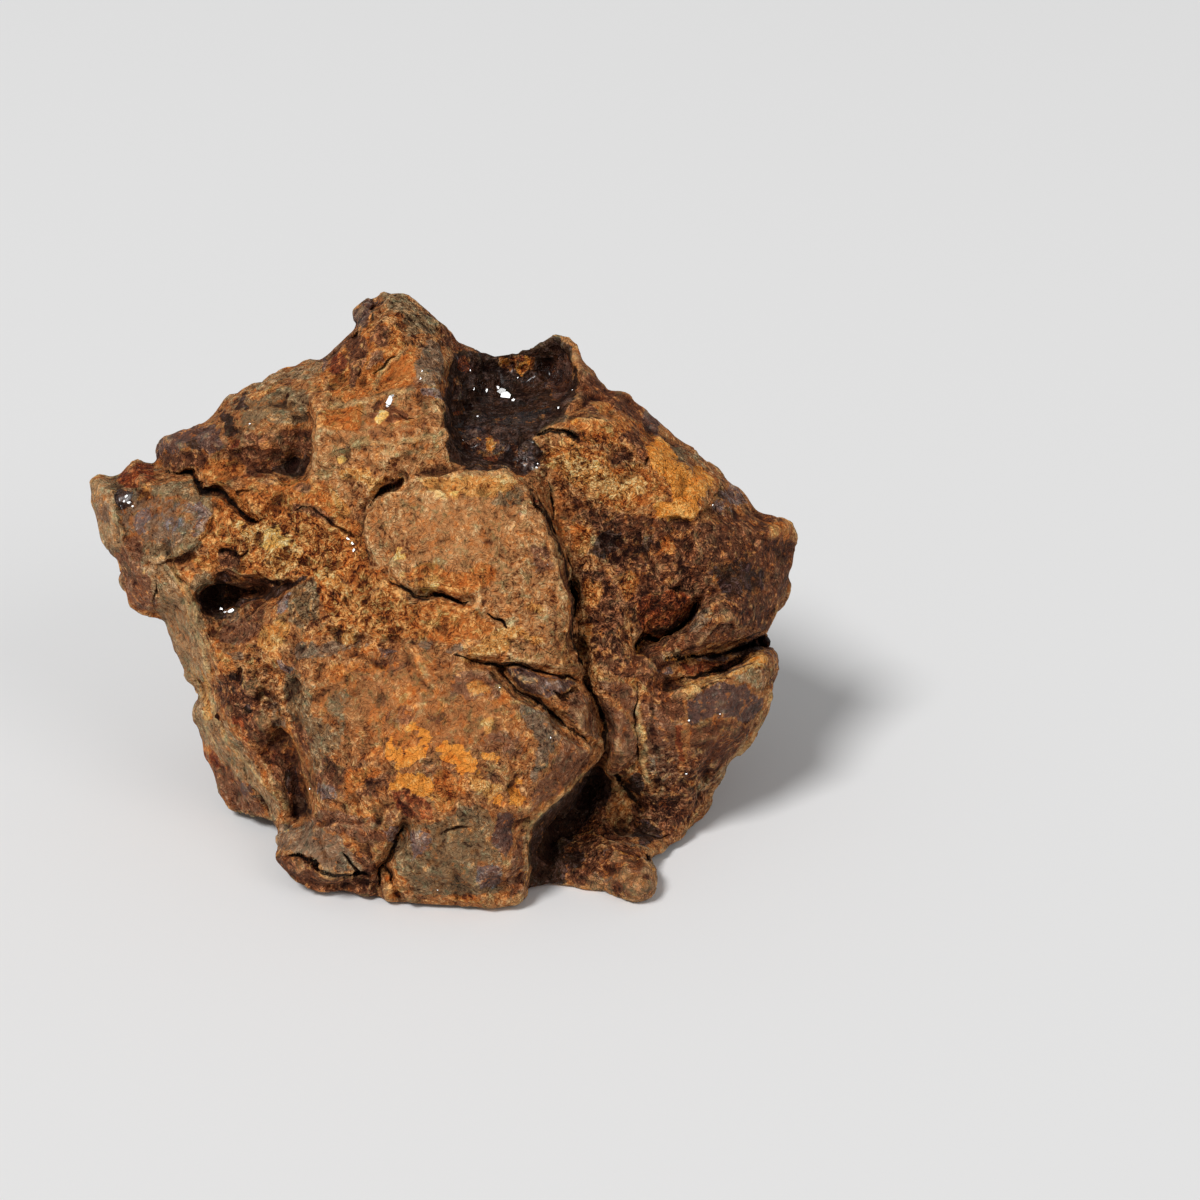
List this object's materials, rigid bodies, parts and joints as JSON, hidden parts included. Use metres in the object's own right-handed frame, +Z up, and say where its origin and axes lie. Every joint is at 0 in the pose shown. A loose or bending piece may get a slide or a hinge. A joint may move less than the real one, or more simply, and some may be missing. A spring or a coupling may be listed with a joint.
{
  "type": "pallasite meteorite",
  "caption": "Weathered broken pallasite meteorite: a rust-brown stone with plates, cracks, an overhung hollow and a dark bowl at its crest.",
  "frame": {"origin": "on the ground, under the middle of the stone's box", "axes": "+Z up, +X to the right along the longest side of the broken face, -Y out of the broken face"},
  "size_m": [0.0287, 0.0211, 0.0201],
  "materials": {
    "rust": "rough weathered rust"
  },
  "bodies": {
    "root": {"stone": "rust"}
  },
  "joints": []
}
